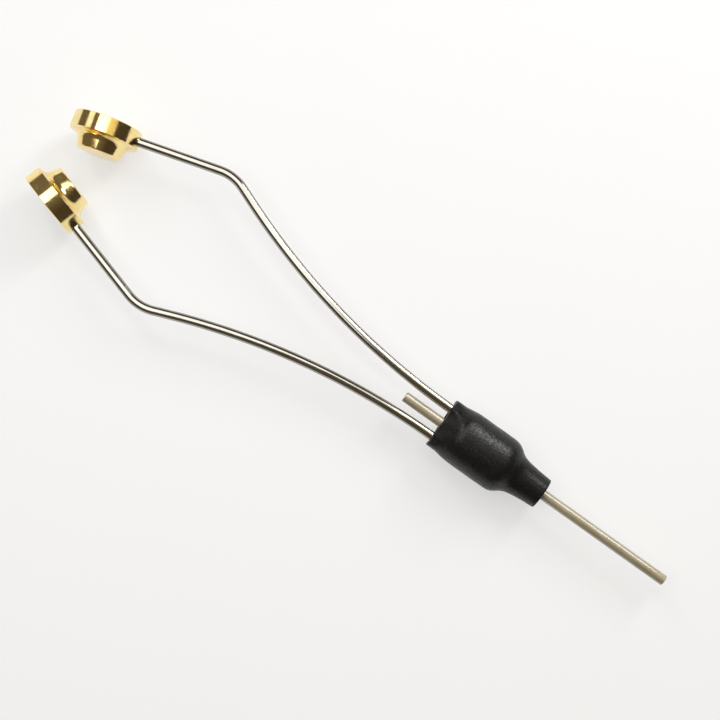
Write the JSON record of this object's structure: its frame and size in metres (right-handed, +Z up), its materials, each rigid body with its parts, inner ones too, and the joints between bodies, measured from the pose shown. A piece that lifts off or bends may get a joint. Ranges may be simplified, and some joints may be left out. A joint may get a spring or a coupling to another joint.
{
  "type": "fly tying bobbin holder",
  "caption": "Fly tying bobbin holder: a thin thread tube in a black shrunk sleeve, with bowed spring wire arms and turned brass feet that grip a thread spool.",
  "frame": {"origin": "on the bench, under the middle of the holder's length, with the tube's axis straight above it", "axes": "+X along the thread tube towards its tip, +Y towards the left arm, +Z up from the bench; the arms lie in a level plane"},
  "size_m": [0.114, 0.0256, 0.0108],
  "materials": {
    "tube_steel": "drawn stainless tube, satin, with polished ends",
    "core_brass": "turned, hidden under the sleeve",
    "sleeve_black": "shrunk polyolefin, satin black",
    "spring_wire": "polished spring steel wire",
    "foot_brass": "turned and polished brass"
  },
  "bodies": {
    "handle": {"thread_tube": "tube_steel", "core_block": "core_brass", "shrink_sleeve": "sleeve_black"},
    "left_side": {"left_arm": "spring_wire", "left_foot": "foot_brass"},
    "right_side": {"right_arm": "spring_wire", "right_foot": "foot_brass"}
  },
  "joints": [
    {"name": "left_arm_flex", "type": "hinge", "parent": "handle", "child": "left_side", "pos_m": [0.01628, 0.0025, 0.0054], "axis": [0, 0, -1], "range_deg": [-1.5, 12], "stiffness_Nm_per_rad": 2.26, "deforming": ["left_arm"]},
    {"name": "right_arm_flex", "type": "hinge", "parent": "handle", "child": "right_side", "pos_m": [0.01628, -0.0025, 0.0054], "axis": [0, 0, 1], "range_deg": [-1.5, 12], "stiffness_Nm_per_rad": 2.26, "deforming": ["right_arm"]}
  ]
}
